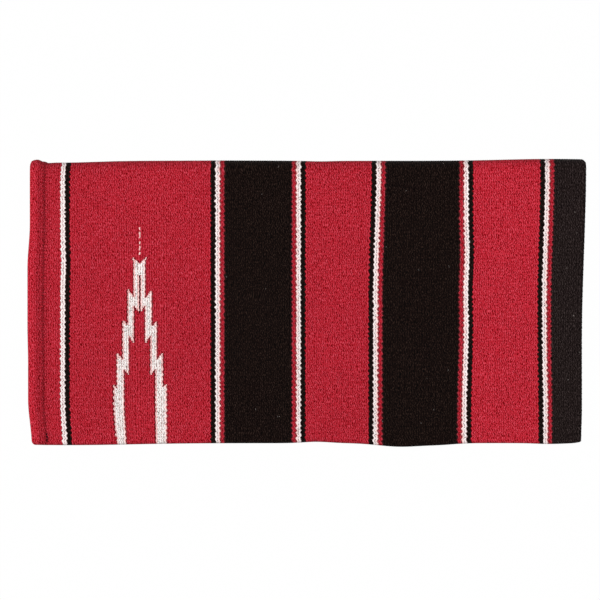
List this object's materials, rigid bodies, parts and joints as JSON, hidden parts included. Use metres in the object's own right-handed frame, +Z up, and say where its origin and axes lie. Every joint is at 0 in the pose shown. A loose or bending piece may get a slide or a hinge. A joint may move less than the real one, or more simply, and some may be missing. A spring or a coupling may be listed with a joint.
{
  "type": "saddle blanket",
  "caption": "Folded striped saddle blanket of thick weft-faced cloth with a stepped zigzag near its hemmed end; the near side swings open at the spine fold.",
  "frame": {"origin": "centre of the folded blanket's outline, on the surface that it lies on", "axes": "+X along the blanket from the hemmed ends to the length fold, +Y from the selvedges to the spine fold, +Z up"},
  "size_m": [0.8128, 0.414, 0.0283],
  "materials": {
    "red_cloth": "weft-faced red wool",
    "black_cloth": "weft-faced black wool",
    "white_cloth": "white figure let into the red field",
    "guard_cloth": "narrow black, white and red stripes woven as one group; the colour given is the middle stripe's",
    "end_guard_cloth": "narrow white and black stripes woven as one group; the colour given is the white stripe's",
    "sewing_thread": "red sewing thread"
  },
  "bodies": {
    "off_side": {"off_outer_hem_end": "red_cloth", "off_outer_end_guard": "end_guard_cloth", "off_outer_figure_field": "red_cloth", "off_outer_guard_1": "guard_cloth", "off_outer_black_band_1": "black_cloth", "off_outer_guard_2": "guard_cloth", "off_outer_red_band_1": "red_cloth", "off_outer_guard_3": "guard_cloth", "off_outer_black_band_2": "black_cloth", "off_outer_guard_4": "guard_cloth", "off_outer_red_band_2": "red_cloth", "off_outer_guard_5": "guard_cloth", "off_outer_zigzag": "white_cloth", "off_outer_hem_thread": "sewing_thread", "off_inner_hem_end": "red_cloth", "off_inner_end_guard": "end_guard_cloth", "off_inner_figure_field": "red_cloth", "off_inner_guard_1": "guard_cloth", "off_inner_black_band_1": "black_cloth", "off_inner_guard_2": "guard_cloth", "off_inner_red_band_1": "red_cloth", "off_inner_guard_3": "guard_cloth", "off_inner_black_band_2": "black_cloth", "off_inner_guard_4": "guard_cloth", "off_inner_red_band_2": "red_cloth", "off_inner_guard_5": "guard_cloth", "off_inner_zigzag": "white_cloth", "off_inner_hem_thread": "sewing_thread", "off_centre_band": "black_cloth"},
    "near_side": {"near_outer_hem_end": "red_cloth", "near_outer_end_guard": "end_guard_cloth", "near_outer_figure_field": "red_cloth", "near_outer_guard_1": "guard_cloth", "near_outer_black_band_1": "black_cloth", "near_outer_guard_2": "guard_cloth", "near_outer_red_band_1": "red_cloth", "near_outer_guard_3": "guard_cloth", "near_outer_black_band_2": "black_cloth", "near_outer_guard_4": "guard_cloth", "near_outer_red_band_2": "red_cloth", "near_outer_guard_5": "guard_cloth", "near_outer_zigzag": "white_cloth", "near_outer_hem_thread": "sewing_thread", "near_inner_hem_end": "red_cloth", "near_inner_end_guard": "end_guard_cloth", "near_inner_figure_field": "red_cloth", "near_inner_guard_1": "guard_cloth", "near_inner_black_band_1": "black_cloth", "near_inner_guard_2": "guard_cloth", "near_inner_red_band_1": "red_cloth", "near_inner_guard_3": "guard_cloth", "near_inner_black_band_2": "black_cloth", "near_inner_guard_4": "guard_cloth", "near_inner_red_band_2": "red_cloth", "near_inner_guard_5": "guard_cloth", "near_inner_zigzag": "white_cloth", "near_inner_hem_thread": "sewing_thread", "near_centre_band": "black_cloth"}
  },
  "joints": [
    {"name": "spine_fold", "type": "hinge", "parent": "off_side", "child": "near_side", "pos_m": [0, 0.207, 0.01415], "axis": [-1, 0, 0], "range_deg": [0, 180]}
  ]
}
